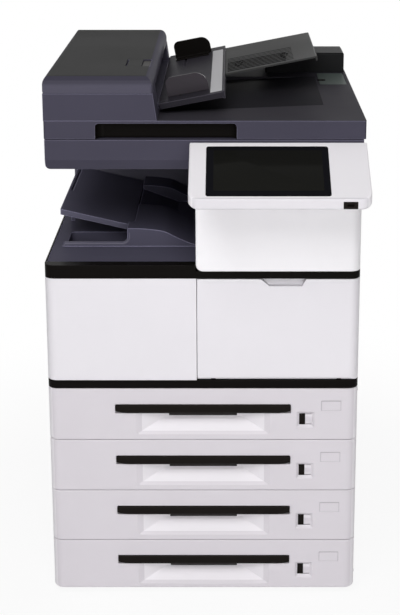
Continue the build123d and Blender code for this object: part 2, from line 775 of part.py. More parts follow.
def exit_unit():
    """Housing right of and behind the output space: it holds the exit rollers and carries the scanner."""
    left = column_left + seam
    right = half_width - cover_wall - seam
    y = (chassis_front, chassis_rear)
    unit = block((left, right), y, (z_lip, z_scanner))
    unit += block((-inner_half, left + 1), (shelf_rear + seam, chassis_rear), (z_lip, z_scanner))
    unit -= block((left + 3, right - 3), (y[0] + 3, y[1] - 3), (z_lip - 1, z_scanner - 3))
    unit -= block((-inner_half + 3, left + 4), (shelf_rear + 4, y[1] - 3), (z_lip - 1, z_scanner - 3))
    unit -= block((left - 1, left + 4), exit_span, (exit_level - 5, exit_level + 16))
    for y_wall in (exit_span[0] - 3, exit_span[1]):
        unit += block((left + 2, left + 26), (y_wall, y_wall + 3), (exit_level - 16, exit_level + 16))
        unit -= rod_y(left + 14, exit_level, exit_shaft_radius + pin_clearance, (y_wall - 1, y_wall + 4))
    return unit


def exit_rollers():
    """Driven exit shaft with four rubber rollers behind the paper slot."""
    x = column_left + seam + 14
    shaft = rod_y(x, exit_level, exit_shaft_radius, (exit_span[0] - 6, exit_span[1] + 6))
    first = exit_span[0] + 40
    pitch = (exit_span[1] - 40 - exit_roller_width - first) / (exit_roller_count - 1)
    for step in range(exit_roller_count):
        y = first + step * pitch
        shaft += rod_y(x, exit_level, exit_roller_radius, (y, y + exit_roller_width))
    return shaft


def column_cover():
    """White cover of the column under the control panel, with a side wall to the rear."""
    high = z_scanner - 1.0
    cover = front_bar((column_left, half_width), (z_deck, high), False, True)
    cover = fillet(edges_along(cover, Axis.Y, x=column_left, z=z_deck), 14)
    cover = fillet(edges_along(cover, Axis.Z, x=column_left, y=0), 3)
    cover -= bar_hollow((column_left + 5, half_width - 6), (z_deck + 4, high + 1), False, True)
    cover += block((half_width - cover_wall, half_width), (front_depth - 1, body_depth), (z_deck, high))
    return cover


def panel_bracket():
    """Hinge block of the control panel on the column's face."""
    pivot_z = panel_pivot_z()
    width = (panel_lugs[0][0], panel_lugs[-1][1])
    base = block(width, (panel_pivot_y - 10, 0), (z_scanner - 34, pivot_z - 12))
    for x in bracket_knuckles:
        base += block(x, (panel_pivot_y - 5, panel_pivot_y + 5), (pivot_z - 13, pivot_z))
        base += rod_x(panel_pivot_y, pivot_z, panel_knuckle_radius, x)
        base -= rod_x(panel_pivot_y, pivot_z, panel_pin_radius + pin_clearance, (x[0] - 1, x[1] + 1))
    return base


def panel_pivot_z():
    """Height of the control panel's hinge, a set distance under the panel's back face."""
    run = (panel_pivot_y + panel_reach) / (panel_rear + panel_reach)
    return panel_front_top - panel_lip + run * panel_slope_rise - panel_pivot_drop


def panel_slope():
    """Angle of the control panel's face, in degrees above the horizontal."""
    return math.degrees(math.atan2(panel_slope_rise, panel_rear + panel_reach))


def on_panel(x, along, depth):
    """Round-cornered slab in the panel's face: along is measured from its rear edge towards the front."""
    length = along[1] - along[0]
    solid = Box(x[1] - x[0], length, depth)
    solid = fillet(solid.edges().filter_by(Axis.Z), screen_corner)
    place = Pos((x[0] + x[1]) / 2, panel_rear, panel_top) * Rot(panel_slope(), 0, 0)
    return place * Pos(0, -(along[0] + along[1]) / 2, 0) * solid


def control_panel():
    """Sloping panel housing with rounded front corners, the screen's recess and hinge lugs."""
    front = -panel_reach
    section = [(panel_rear, panel_top), (front, panel_front_top), (front, panel_front_top - panel_lip),
               (panel_rear, panel_top - panel_lip)]
    x = (panel_left, panel_right)
    plan = block(x, (front, panel_rear), (panel_front_top - panel_lip - 1, panel_top + 1))
    plan = fillet(edges_along(plan, Axis.Z, y=front), panel_corner)
    housing = plan & profile_x(section, x)
    housing = fillet(edges_along(housing, Axis.X, y=front), 3)
    length = math.hypot(panel_slope_rise, panel_rear + panel_reach)
    housing -= on_panel((screen_left, screen_right), (0.065 * length, 0.949 * length), 2 * screen_depth)
    housing -= block(usb_x, (front - 1, front + 10), usb_z)
    pivot_z = panel_pivot_z()
    for lug in panel_lugs:
        housing += block(lug, (panel_pivot_y - 8, panel_pivot_y + 8), (pivot_z, pivot_z + 20))
        housing += rod_x(panel_pivot_y, pivot_z, panel_knuckle_radius, lug)
    housing += rod_x(panel_pivot_y, pivot_z, panel_pin_radius, (panel_lugs[0][0], panel_lugs[-1][1]))
    return housing


def touch_screen():
    """Glass front of the display, set flush in the panel."""
    length = math.hypot(panel_slope_rise, panel_rear + panel_reach)
    gap = 0.2
    slab = on_panel((screen_left + gap, screen_right - gap), (0.065 * length + gap, 0.949 * length - gap),
                    2 * screen_depth)
    upper = Pos(0, 0, 10) * Box(4 * body_width, 4 * body_width, 20)
    return slab - Pos(0, panel_rear, panel_top) * Rot(panel_slope(), 0, 0) * upper


def usb_port():
    """Black insert with one flat socket in the panel's front lip."""
    front = -panel_reach
    insert = block((usb_x[0] + 0.1, usb_x[1] - 0.1), (front, front + 10), (usb_z[0] + 0.1, usb_z[1] - 0.1))
    middle = (usb_x[0] + usb_x[1]) / 2
    level = (usb_z[0] + usb_z[1]) / 2
    insert -= block((middle - 6.5, middle + 6.5), (front - 1, front + 8), (level - 2.6, level + 2.6))
    return insert + block((middle - 5.5, middle + 5.5), (front + 2, front + 9), (level + 0.2, level + 1.6))


def scanner_housing():
    """Flatbed scanner case with its front undercut, two windows and the ledge of the carriage."""
    section = [(0, z_seam), (0, z_scanner + scanner_crease), (scanner_slope_back, z_scanner),
               (body_depth, z_scanner), (body_depth, z_seam)]
    case = profile_x(section, (scanner_left, scanner_right))
    case = fillet(edges_along(case, Axis.Y, z=z_scanner), scanner_round)
    case -= block((scanner_left + 4, scanner_right - 4), (scanner_slope_back + 4, body_depth - 4),
                  (z_scanner + 4, z_seam - 5))
    seat = glass_thickness + 0.2
    for left, right in ((strip_left, strip_right), (platen_left, platen_right)):
        case -= block((left, right), (platen_front, platen_rear), (z_seam - seat, z_seam + 1))
        case -= block((left + 6, right - 6), (platen_front + 6, platen_rear - 6), (z_seam - 6, z_seam + 1))
    case += block((scanner_left + 3, scanner_right - 3), (platen_front + 4, platen_front + 10),
                  (z_scanner + 3, carriage_low() - seam))
    return case


def carriage_low():
    """Underside of the scan carriage."""
    return z_scanner + 16.0


def platen_glass():
    """Two panes: the wide platen and the narrow strip that the feeder reads through."""
    panes = []
    for left, right in ((strip_left, strip_right), (platen_left, platen_right)):
        z = (z_seam - glass_thickness - 0.2, z_seam - 0.2)
        panes.append(block((left + 0.2, right - 0.2), (platen_front + 0.2, platen_rear - 0.2), z))
    return Compound(children=panes)


def carriage_rail():
    """Ground rod that the scan carriage runs on."""
    middle = (platen_front + platen_rear) / 2
    return rod_x(middle, carriage_low() + 12, carriage_rod_radius, (scanner_left + 4, scanner_right - 4))


def scan_carriage():
    """Full-width lamp and sensor bar on the rod, with the light slit along its top."""
    middle = (platen_front + platen_rear) / 2
    low = carriage_low()
    x = (strip_left + 2, strip_left + 2 + carriage_width)
    bar = block(x, (platen_front + 2, platen_rear + 10), (low, low + 28))
    bar -= block((x[0] + 14, x[0] + 20), (platen_front + 12, platen_rear - 12), (low + 22, low + 29))
    bar -= rod_x(middle, low + 12, carriage_rod_radius + pin_clearance, (x[0] - 1, x[1] + 1))
    return bar


def lid_cover():
    """Lid with the grip recess, the sloping delivery area, the rear box and two hinge lugs."""
    x = (lid_left, lid_right)
    y = (0, body_depth)
    lid = block(x, y, (z_lid_bottom, z_lid))
    lid = fillet(edges_along(lid, Axis.Z), 5)
    pocket_z = (z_lid_bottom - 1, z_lid_bottom + pad_thickness)
    lid -= block((pad_x[0] - 1, pad_x[1] + 1), (pad_y[0] - 1, pad_y[1] + 1), pocket_z)
    grip = block((grip_left, grip_right), (-1, grip_depth), (z_lid_bottom - 1, z_lid_bottom + grip_height))
    grip = fillet(edges_along(grip, Axis.Y, z=z_lid_bottom + grip_height), 7)
    lid -= grip
    left = feeder_foot_right - 26
    slope = [(left, z_lid + 1), (delivery_right, z_lid + 1), (delivery_right, z_lid),
             (feeder_foot_right, z_lid - output_drop), (left, z_lid - output_drop)]
    plan = [(left, delivery_front), (delivery_right, delivery_front + delivery_skew),
            (delivery_right, delivery_rear), (left, delivery_rear)]
    lid -= profile_y(slope, (delivery_front, delivery_rear)) & profile_z(plan, (z_lid - output_drop - 1, z_lid + 2))
    lid -= block(hatch_x, hatch_y, (z_lid - 1, z_lid + 1))
    box_z = (z_lid - 1, z_lid + hinge_box_height)
    box = block((hinge_box_left, lid_right - 4), (hinge_box_front, hinge_box_rear), box_z)
    box = fillet(edges_along(box, Axis.Z), 4)
    box = chamfer(box.faces().sort_by(Axis.Z)[-1].edges(), 3)
    lid += box
    for side in (-1, 1):
        lug = (side * hinge_x - 10, side * hinge_x + 10)
        lid += block(lug, (body_depth - 1, hinge_y), (hinge_z - 7, hinge_z + 7))
        lid += rod_x(hinge_y, hinge_z, hinge_radius, lug)
        lid += rod_x(hinge_y, hinge_z, hinge_pin_radius, (lug[0] - 16, lug[1] + 16))
    return lid


def platen_pad():
    """White backing pad in the underside of the lid."""
    pad = block(pad_x, pad_y, (z_seam + seam, z_lid_bottom + pad_thickness))
    return fillet(edges_along(pad, Axis.Z), 3)


def lid_hinge_posts():
    """Two forked posts on the scanner's rear wall that carry the lid."""
    posts = []
    for side in (-1, 1):
        middle = side * hinge_x
        post = block((middle - 27, middle + 27), (body_depth, body_depth + 14), (z_scanner + 8, z_seam - 12))
        for x in ((middle - 26, middle - 10.4), (middle + 10.4, middle + 26)):
            post += block(x, (hinge_y - 7, hinge_y + 7), (z_seam - 14, hinge_z))
            post += rod_x(hinge_y, hinge_z, hinge_radius, x)
            post -= rod_x(hinge_y, hinge_z, hinge_pin_radius + pin_clearance, (x[0] - 1, x[1] + 1))
        posts.append(post)
    return Compound(children=posts)


def feeder_base():
    """Lower half of the document feeder: roller bay, entry mouth, cover hinge and tray hinge."""
    y = (0, body_depth)
    section = [(lid_left, z_lid), (feeder_foot_right, z_lid), (feeder_top_right, z_feeder), (lid_left, z_feeder)]
    base = profile_y(section, y)
    base = fillet(edges_along(base, Axis.Z, x=lid_left, y=body_depth), feeder_rear_radius)
    bay_floor = z_lid + 14
    base -= block((lid_left + 12, feeder_top_right - 8), (14, body_depth - 24), (bay_floor, z_feeder + 1))
    base -= block((feeder_top_right - 10, feeder_foot_right + 1), feeder_mouth, (bay_floor, z_feeder + 1))
    for place in cover_hinge_places:
        ear = (place - 6, place + 6)
        pivot = (lid_left + feeder_hinge, z_feeder + seam + feeder_hinge)
        base += block((pivot[0] - 4, pivot[0] + 4), ear, (z_feeder - 1, pivot[1]))
        base += rod_y(pivot[0], pivot[1], 4.2, ear)
        base -= rod_y(pivot[0], pivot[1], 2 + pin_clearance, (ear[0] - 1, ear[1] + 1))
    for y_wall in (roller_span[0] - 4, roller_span[1]):
        base += block((pickup_x - 12, feed_x + 12), (y_wall, y_wall + 4), (bay_floor - 1, roller_z + 8))
        for x in (pickup_x, feed_x):
            base -= rod_y(x, roller_z, feed_shaft_radius + pin_clearance, (y_wall - 1, y_wall + 5))
    for place in tray_hinge_places:
        ear = (place - 4, place + 4)
        base += block((feeder_foot_right - 6, tray_pivot[0]), ear, (tray_pivot[1] - 5, tray_pivot[1] + 5))
        base += rod_y(tray_pivot[0], tray_pivot[1], 5, ear)
        base -= rod_y(tray_pivot[0], tray_pivot[1], 2 + pin_clearance, (ear[0] - 1, ear[1] + 1))
    return base


def feeder_cover():
    """Upper half of the document feeder, hinged on the left, hollow below, with the latch's recess."""
    low = z_feeder + seam
    x = (lid_left, feeder_top_right)
    y = (0, body_depth)
    across = [(x[0], low), (x[0], z_feeder_top), (x[1], z_feeder_top), (x[1], low)]
    cover = profile_y(across, y, [feeder_hinge - 0.1, 8, 18, 0])
    along = [(y[0], low), (y[0], z_feeder_top - feeder_front_drop), (feeder_front_bevel, z_feeder_top),
             (y[1], z_feeder_top), (y[1], low)]
    cover = cover & profile_x(along, (x[0] - 1, x[1] + 1), [0, 8, 32, 12, 0])
    plan = [(x[0], y[0]), (x[1], y[0]), (x[1], y[1]), (x[0], y[1])]
    corners = [3, 6, feeder_rear_radius, feeder_rear_radius]
    cover = cover & profile_z(plan, (low - 1, z_feeder_top + 1), corners)
    inside = (low - 1, z_feeder_top - 14)
    cover -= block((x[0] + 12, latch_left - 8), (10, body_depth - 24), inside)
    cover -= block((latch_left - 9, x[1] - 8), (latch_rear + 8, body_depth - 24), inside)
    cover -= block((latch_left, latch_right), (latch_front, latch_rear), (z_feeder_top - 6, z_feeder_top + 1))
    cover -= rod_y(latch_left + 5, z_feeder_top - 2.5, 1.2 + pin_clearance, (latch_front - 4, latch_rear + 4))
    for place in cover_hinge_places:
        slot = (place - 6 - seam, place + 6 + seam)
        pivot = (lid_left + feeder_hinge, low + feeder_hinge)
        cover -= block((x[0] - 1, pivot[0] + 6), slot, (low - 1, pivot[1] + 6))
        cover += rod_y(pivot[0], pivot[1], 2, (slot[0] - 1, slot[1] + 1))
    return cover


def feeder_latch():
    """Lever of the feeder cover's catch, flush in its recess, with a finger space on the right."""
    x = (latch_left + 5, latch_left + 31)
    y = (latch_front + 0.5, latch_rear - 0.5)
    lever = block(x, y, (z_feeder_top - 5, z_feeder_top))
    lever += rod_y(x[0], z_feeder_top - 2.5, 2.5, y)
    lever += rod_y(x[0], z_feeder_top - 2.5, 1.2, (latch_front - 3, latch_rear + 3))
    return lever


def roller(x):
    """Rubber roller on a steel shaft between the feeder's two bearing plates."""
    shaft = rod_y(x, roller_z, feed_shaft_radius, (roller_span[0] - 7, roller_span[1] + 7))
    middle = (roller_span[0] + roller_span[1]) / 2
    return shaft + rod_y(x, roller_z, feed_roller_radius, (middle - 30, middle + 30))


def on_document_tray(solid):
    """Sets a piece drawn flat, with x along the tray, onto the tray's slope."""
    return Pos(document_x, 0, document_z) * Rot(0, -document_slope, 0) * solid


def document_tray():
    """Sloping tray with deep skirts, guide slots, the extension's rails and a stop lip on the right."""
    y = (document_front, document_rear)
    plate = block((0, document_length), y, (-document_plate, 0))
    for side in ((y[0], y[0] + 3), (y[1] - 3, y[1])):
        plate += block((2, document_length), side, (-11, -1))
    plate += block((document_length - 4, document_length), (y[0], extension_front - 8), (-13, 1.5))
    for rail in ((extension_front - 8, extension_front - 0.5), (y[1] - 10, y[1] - 2)):
        plate += block((20, document_length), rail, (-9.5, -1))
    for ledge in ((extension_front - 8, extension_front + 6), (y[1] - 16, y[1] - 2)):
        plate += block((20, document_length), ledge, (-11, -8.3))
    for slot in (front_guide_slot, rear_guide_slot):
        plate -= block(guide_groove, slot, (-guide_groove_depth, 1))
    tray = on_document_tray(plate)
    for place in tray_hinge_places:
        slot = (place - 4 - seam, place + 4 + seam)
        tray -= block((tray_pivot[0] - 8, tray_pivot[0] + 7), slot, (tray_pivot[1] - 12, tray_pivot[1] + 12))
        ears = ((slot[0] - 5, slot[0]), (slot[1], slot[1] + 5))
        for ear in ears:
            tray += rod_y(tray_pivot[0], tray_pivot[1], 4.5, ear)
        tray += rod_y(tray_pivot[0], tray_pivot[1], 2, (slot[0] - 1, slot[1] + 1))
    return tray


def document_guide(y, inward, height, corner):
    """Paper guide: an upright fence with a rounded shoulder, a foot and a tongue in the tray's slot."""
    fence = block(guide_fence, (y - 1.5, y + 1.5), (seam, height))
    fence = fillet(edges_along(fence, Axis.Y, x=guide_fence[1], z=height), corner)
    fence = fillet(edges_along(fence, Axis.Y, x=guide_fence[0], z=height), 12)
    foot = block((guide_fence[0], guide_fence[1] - 6), sorted((y, y + inward * 30)), (seam, 2.5))
    tongue_x = (guide_groove[0] + seam, guide_groove[1] - seam)
    tongue = block(tongue_x, sorted((y + inward * 2, y + inward * 16)), (seam - guide_groove_depth, 1))
    return on_document_tray(fence + foot + tongue)


def tray_extension():
    """Slide-out leaf under the tray's right end, with shallow ribs and a curled lip."""
    left = document_length - extension_tuck
    right = left + extension_length
    y = (extension_front, document_rear - 11)
    section = [(left, -8), (left, -4.3), (right, -4.3), (right, -14), (right - 3, -14), (right - 3, -8)]
    leaf = profile_y(section, y, [0, 0, 2.5, 1, 1, 1])
    inner = (left + extension_notch[0], y[1] - extension_notch[1])
    plan = [(left, y[0]), (right, y[0]), (right, y[1]), (inner[0], y[1]), inner, (left, inner[1])]
    leaf = leaf & profile_z(plan, (-15, -4), [0, 6, 6, 0, 0, 0])
    panel = (y[0] + 14, y[0] + 130)
    leaf -= block((left + 20, right - 62), panel, (-4.9, -4))
    pitch = (panel[1] - panel[0]) / (extension_rib_count + 1)
    for step in range(extension_rib_count):
        rib = panel[0] + (step + 1) * pitch
        leaf += block((left + 20, right - 72), (rib - 1, rib + 1), (-5.2, -4.3))
    return on_document_tray(leaf)


def inner_cover():
    """Grey engine cover behind the door: a face with round bottle ports and the cradle shelf."""
    x = (door_split + seam, guide_plate_x - seam)
    low = z_shelf_plate + sheet
    high = z_lip - sheet
    face = block(x, (inner_cover_y, inner_cover_y + 3), (low, high))
    shelf_top = toner_z - toner_radius - seam
    face += block(x, (inner_cover_y + 1, inner_cover_y + toner_length), (shelf_top - 3, shelf_top))
    for step in range(toner_count):
        place = toner_left + step * toner_pitch
        face -= rod_y(place, toner_z, toner_radius + seam, (inner_cover_y - 1, inner_cover_y + 4))
    return face


def toner_cartridges():
    """Row of toner bottles with a flat grip across each front cap."""
    bottles = []
    for step in range(toner_count):
        x = toner_left + step * toner_pitch
        bottle = rod_y(x, toner_z, toner_radius, (inner_cover_y - 4, inner_cover_y + toner_length - 6))
        grip = block((x - 4, x + 4), (inner_cover_y - 11, inner_cover_y - 3), (toner_z - 18, toner_z + 18))
        bottles.append(bottle + grip)
    return Compound(children=bottles)


def power_inlet():
    """Rear mains plate with a three-pin inlet well and the switch's well."""
    x = (inlet_x[0] + 0.2, inlet_x[1] - 0.2)
    z = (inlet_z[0] + 0.2, inlet_z[1] - 0.2)
    plate = block(x, (body_depth - 24, body_depth + 1), z)
    middle = (z[0] + z[1]) / 2
    plate -= block((x[0] + 8, x[0] + 35), (body_depth - 15, body_depth + 2), (middle - 10, middle + 10))
    for step in (-1, 0, 1):
        pin_x = x[0] + 21.5 + step * 7
        plate += block((pin_x - 1, pin_x + 1), (body_depth - 16, body_depth - 3), (middle - 3, middle + 3))
    plate -= block(switch_x, (body_depth - 15, body_depth + 2), (middle - 11, middle + 11))
    plate -= rod_x(body_depth - 4, middle, 1.5 + pin_clearance, (switch_x[0] - 3, switch_x[1] + 3))
    return plate


def power_switch():
    """Mains rocker on a cross pin."""
    middle = (inlet_z[0] + inlet_z[1]) / 2
    y = body_depth - 4
    section = [(y - 6, middle - 9), (y + 3, middle - 9), (y + 6.5, middle), (y + 3, middle + 9), (y - 6, middle + 9)]
    rocker = profile_x(section, (switch_x[0] + 0.4, switch_x[1] - 0.4))
    return rocker + rod_x(y, middle, 1.5, (switch_x[0] - 2.5, switch_x[1] + 2.5))


def pieces():
    """Every node's name with its solid."""
    made = {
        "chassis": chassis(),
        "levelling_feet": levelling_feet(),
        "left_cover": left_cover(),
        "right_cover": right_cover(),
        "rear_cover": rear_cover(),
        "waist_band": waist_band(),
        "front_left_cover": front_left_cover(),
        "front_door": front_door(),
        "side_door": side_door(),
        "bypass_tray": bypass_tray(),
        "lip_trim": lip_trim(),
        "output_shelf": output_shelf(),
        "exit_tray": exit_tray(),
        "exit_unit": exit_unit(),
        "exit_rollers": exit_rollers(),
        "column_cover": column_cover(),
        "panel_bracket": panel_bracket(),
        "control_panel": control_panel(),
        "touch_screen": touch_screen(),
        "usb_port": usb_port(),
        "scanner_housing": scanner_housing(),
        "platen_glass": platen_glass(),
        "carriage_rail": carriage_rail(),
        "scan_carriage": scan_carriage(),
        "lid_cover": lid_cover(),
        "platen_pad": platen_pad(),
        "lid_hinge_posts": lid_hinge_posts(),
        "feeder_base": feeder_base(),
        "feeder_cover": feeder_cover(),
        "feeder_latch": feeder_latch(),
        "pickup_roller": roller(pickup_x),
        "feed_roller": roller(feed_x),
        "document_tray": document_tray(),
        "tray_extension": tray_extension(),
        "document_guide_front": document_guide(front_guide_y, 1, 37, 24),
        "document_guide_rear": document_guide(rear_guide_y, -1, 38, 20),
        "inner_cover": inner_cover(),
        "toner_cartridges": toner_cartridges(),
        "power_inlet": power_inlet(),
        "power_switch": power_switch(),
    }
    for number in range(1, tray_count + 1):
        made[f"tray_{number}_pan"] = tray_pan(number)
        made[f"tray_{number}_front"] = tray_front(number)
        made[f"tray_{number}_handle"] = tray_handle(number)
        made[f"tray_{number}_lift_plate"] = lift_plate(number)
        made[f"tray_{number}_end_guide"] = end_guide(number)
    return made


os.makedirs("parts", exist_ok=True)
for name, solid in pieces().items():
    export_step(Pos(0, front_y, 0) * solid, f"parts/{name}.step")
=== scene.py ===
"""Office printer with four paper trays, a tilting touch panel and a feeder on its scanner lid."""
import bpy
import math
import numpy as np
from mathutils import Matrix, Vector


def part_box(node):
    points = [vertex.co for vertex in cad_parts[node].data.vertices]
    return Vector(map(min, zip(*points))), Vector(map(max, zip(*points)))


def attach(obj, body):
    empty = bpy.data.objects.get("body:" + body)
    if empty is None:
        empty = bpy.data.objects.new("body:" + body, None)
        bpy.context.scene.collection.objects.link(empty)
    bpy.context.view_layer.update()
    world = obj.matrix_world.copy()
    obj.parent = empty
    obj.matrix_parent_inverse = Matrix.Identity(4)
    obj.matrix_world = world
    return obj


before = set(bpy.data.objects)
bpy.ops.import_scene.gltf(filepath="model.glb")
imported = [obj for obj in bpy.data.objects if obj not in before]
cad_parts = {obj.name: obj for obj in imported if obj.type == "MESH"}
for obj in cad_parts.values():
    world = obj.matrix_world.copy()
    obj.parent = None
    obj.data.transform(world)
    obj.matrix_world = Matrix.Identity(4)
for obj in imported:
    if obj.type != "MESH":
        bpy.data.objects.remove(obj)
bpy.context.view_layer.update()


# Camera at the photograph's place, level from side to side and tipped down by 14.6 degrees.
# The frame is 400 by 615, and the shift puts the machine where the photograph has it.
camera_tip = 14.62
eye = bpy.data.cameras.new("camera")
eye.lens = 85.76
eye.shift_x = -0.0486
eye.shift_y = -0.18
camera = bpy.data.objects.new("camera", eye)
camera.location = (0.05203, -2.90395, 1.51451)
camera.rotation_euler = (math.radians(90 - camera_tip), 0, 0)
bpy.context.scene.collection.objects.link(camera)
bpy.context.scene.camera = camera


# Steel frame inside the machine, folded from galvanised sheet and spot welded.
# It shows only where a tray is out or a door is open. Zinc crystals give it a flaky tone.
def linear(hex_color):
    """sRGB hex to linear: v / 12.92 to 0.04045, then ((v + 0.055) / 1.055) to the power 2.4."""
    v = np.array([int(hex_color[i:i + 2], 16) for i in (1, 3, 5)]) / 255
    v = np.where(v <= 0.04045, v / 12.92, ((v + 0.055) / 1.055) ** 2.4)
    return (*v.tolist(), 1.0)


def add(tree, kind, links=None, values=None, **settings):
    """Adds one node: settings are its own fields, values its unlinked inputs, links its others."""
    node = tree.nodes.new(kind)
    for key, value in settings.items():
        setattr(node, key, value)
    for key, value in (values or {}).items():
        node.inputs[key].default_value = value
    for key, socket in (links or {}).items():
        tree.links.new(socket, node.inputs[key])
    return node


def finish_of(name, color, roughness, metallic=0.0):
    """New material with its shader set to plain values, ready for its pattern nodes."""
    material = bpy.data.materials.new(name)
    material.use_nodes = True
    shader = material.node_tree.nodes["Principled BSDF"]
    shader.inputs["Base Color"].default_value = linear(color)
    shader.inputs["Roughness"].default_value = roughness
    shader.inputs["Metallic"].default_value = metallic
    return material, material.node_tree, shader


def dress(material, *nodes):
    """Puts the material in each CAD node's slots."""
    for name in nodes:
        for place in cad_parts[name].material_slots:
            place.material = material


def galvanised(crystal_mm):
    """Hot-dip zinc on sheet steel: crystals that differ a little in tone and gloss."""
    material, tree, shader = finish_of("galvanised_sheet_steel", "#a9adb0", 0.42, 1.0)
    place = add(tree, "ShaderNodeTexCoord").outputs["Object"]
    flakes = add(tree, "ShaderNodeTexVoronoi", {"Vector": place}, {"Scale": 1000 / crystal_mm})
    tone = add(tree, "ShaderNodeMix", {"Factor": flakes.outputs["Color"]},
               {6: linear("#9a9ea1"), 7: linear("#b7babd")}, data_type="RGBA")
    tree.links.new(tone.outputs[2], shader.inputs["Base Color"])
    rough = add(tree, "ShaderNodeMapRange", {"Value": flakes.outputs["Distance"]},
                {"To Min": 0.36, "To Max": 0.5})
    tree.links.new(rough.outputs["Result"], shader.inputs["Roughness"])
    return material


zinc = galvanised(8.0)
dress(zinc, "chassis", "lid_hinge_posts")


# Outer covers, injection moulded in off-white ABS with a fine spark-eroded grain.
# They screw or clip to the frame, and a joint runs round them at the waist, over the trays.
def grained(name, color, roughness, grain_mm, depth_mm,
            spread=0.04, edge_mm=1.0, gloss=0.5, pale=0.0):
    """Moulded plastic: a pebbled grain as bump, a faint change of tone, and rounded edges.
    Where the rounded normal turns from the face's own, a painted highlight makes the edge paler by
    the share pale; a negative share paints a dark line there."""
    material, tree, shader = finish_of(name, color, roughness)
    shader.inputs["Specular IOR Level"].default_value = gloss
    place = add(tree, "ShaderNodeTexCoord").outputs["Object"]
    edge = add(tree, "ShaderNodeBevel", None, {"Radius": edge_mm / 1000}, samples=6)
    pebble = add(tree, "ShaderNodeTexNoise", {"Vector": place},
                 {"Scale": 1000 / grain_mm, "Detail": 2.0, "Roughness": 0.6})
    bump = add(tree, "ShaderNodeBump",
               {"Height": pebble.outputs["Fac"], "Normal": edge.outputs["Normal"]},
               {"Strength": 0.35, "Distance": depth_mm / 1000})
    tree.links.new(bump.outputs["Normal"], shader.inputs["Normal"])
    cloud = add(tree, "ShaderNodeTexNoise", {"Vector": place}, {"Scale": 7.0, "Detail": 3.0})
    span = {"From Min": 0.3, "From Max": 0.7}
    drift = add(tree, "ShaderNodeMapRange", {"Value": cloud.outputs["Fac"]},
                {**span, "To Min": 1 - spread, "To Max": 1 + spread})
    face = add(tree, "ShaderNodeNewGeometry")
    turn = add(tree, "ShaderNodeVectorMath",
               {0: edge.outputs["Normal"], 1: face.outputs["Normal"]}, operation="DOT_PRODUCT")
    # Painted highlight: the tone rises where the bevel normal turns away from the face's own
    # normal.
    edge_highlight = add(tree, "ShaderNodeMapRange", {"Value": turn.outputs["Value"]},
              {"From Min": 0.98, "From Max": 0.8, "To Min": 1.0, "To Max": 1 + pale})
    share = add(tree, "ShaderNodeMath",
                {0: drift.outputs["Result"], 1: edge_highlight.outputs["Result"]}, operation="MULTIPLY")
    tone = add(tree, "ShaderNodeVectorMath", {1: share.outputs[0]}, {0: linear(color)[:3]},
               operation="MULTIPLY")
    tree.links.new(tone.outputs["Vector"], shader.inputs["Base Color"])
    rough = add(tree, "ShaderNodeMapRange", {"Value": cloud.outputs["Fac"]},
                {**span, "To Min": roughness - 0.03, "To Max": roughness + 0.03})
    tree.links.new(rough.outputs["Result"], shader.inputs["Roughness"])
    return material


def zoned(name, material, axis, level_mm, width_mm, color):
    """Copy of a material with a band of another colour, half the width to each side of a level."""
    made = material.copy()
    made.name = name
    tree = made.node_tree
    shader = tree.nodes["Principled BSDF"]
    tone = shader.inputs["Base Color"].links[0].from_socket
    texture = next(node for node in tree.nodes if node.bl_idname == "ShaderNodeTexCoord")
    way = add(tree, "ShaderNodeSeparateXYZ", {0: texture.outputs["Object"]})
    near = add(tree, "ShaderNodeMath", {0: way.outputs[axis]},
               {1: level_mm / 1000, 2: width_mm / 2000}, operation="COMPARE")
    band = add(tree, "ShaderNodeMix", {"Factor": near.outputs[0], 6: tone}, {7: linear(color)},
               data_type="RGBA")
    tree.links.new(band.outputs[2], shader.inputs["Base Color"])
    return made


def white_grained(name, color):
    """Off-white ABS as the covers have it: a 1.6 mm grain, 0.04 mm deep, on a satin surface."""
    return grained(name, color, 0.42, 1.6, 0.04, spread=0.008, edge_mm=1.2)


white_abs = white_grained("off_white_ABS_moulded_grain", "#e6e3e8")
dress(white_abs, "front_left_cover")
# The column under the panel is a paler white: painted light where the panel's overhang shades it.
dress(white_grained("off_white_ABS_column_painted_light", "#faf8fb"), "column_cover")
waist_level = 1000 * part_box("waist_band")[1].z
joint_width = 1.6
joint_abs = zoned("off_white_ABS_with_waist_joint", white_abs, "Z", waist_level, joint_width,
                  "#6f6d70")
dress(joint_abs, "left_cover", "right_cover", "rear_cover")


# Four moulded rubber feet on steel necks.
rubber = grained("black_rubber_moulded", "#1d1d1e", 0.8, 1.0, 0.06)
dress(rubber, "levelling_feet")


# Gloss black ABS, moulded in a polished tool: the waist band and the rim of the output deck.
black_gloss = grained("black_ABS_polished", "#141211", 0.24, 6.0, 0.002,
                      spread=0.04, edge_mm=2.0, gloss=0.015, pale=1.5)
dress(black_gloss, "waist_band", "lip_trim")


# Four paper drawers, each an off-white front, a black grip bar and a grey moulded pan on runners.
# Their fronts are a darker off-white than the covers, painted shade for light that falls off
# downwards, and the scoop under the bar is painted paler, painted light where its floor faces up.
# Beside the size drum a black plate paints the shade in the open slot, and a fine grey line round
# the bare recess for a card paints the shade along its edges.
grey_pan = grained("grey_polystyrene_moulded", "#8f9092", 0.5, 1.2, 0.05)
black_abs = grained("black_ABS_moulded_grain", "#1b1816", 0.4, 1.0, 0.02,
                    spread=0.04, edge_mm=1.6, gloss=0.03, pale=1.5)
# The drawer fronts are darker than the covers: painted shade for light falling off downwards.
drawer_abs_painted_shade = white_grained("off_white_ABS_drawer_painted_shade", "#d8d3d9")


def skin(rings, closed=False):
    """Faces over a stack of rings, each anticlockwise about the way on, capped unless it closes."""
    m, n = rings.shape[:2]
    i, j = np.meshgrid(np.arange(m if closed else m - 1), np.arange(n), indexing="ij")
    k, l = (i + 1) % m, (j + 1) % n
    quads = np.stack([i * n + j, i * n + l, k * n + l, k * n + j], -1).reshape(-1, 4).tolist()
    if closed:
        return quads
    return quads + [list(range(n))[::-1], list(range((m - 1) * n, m * n))]


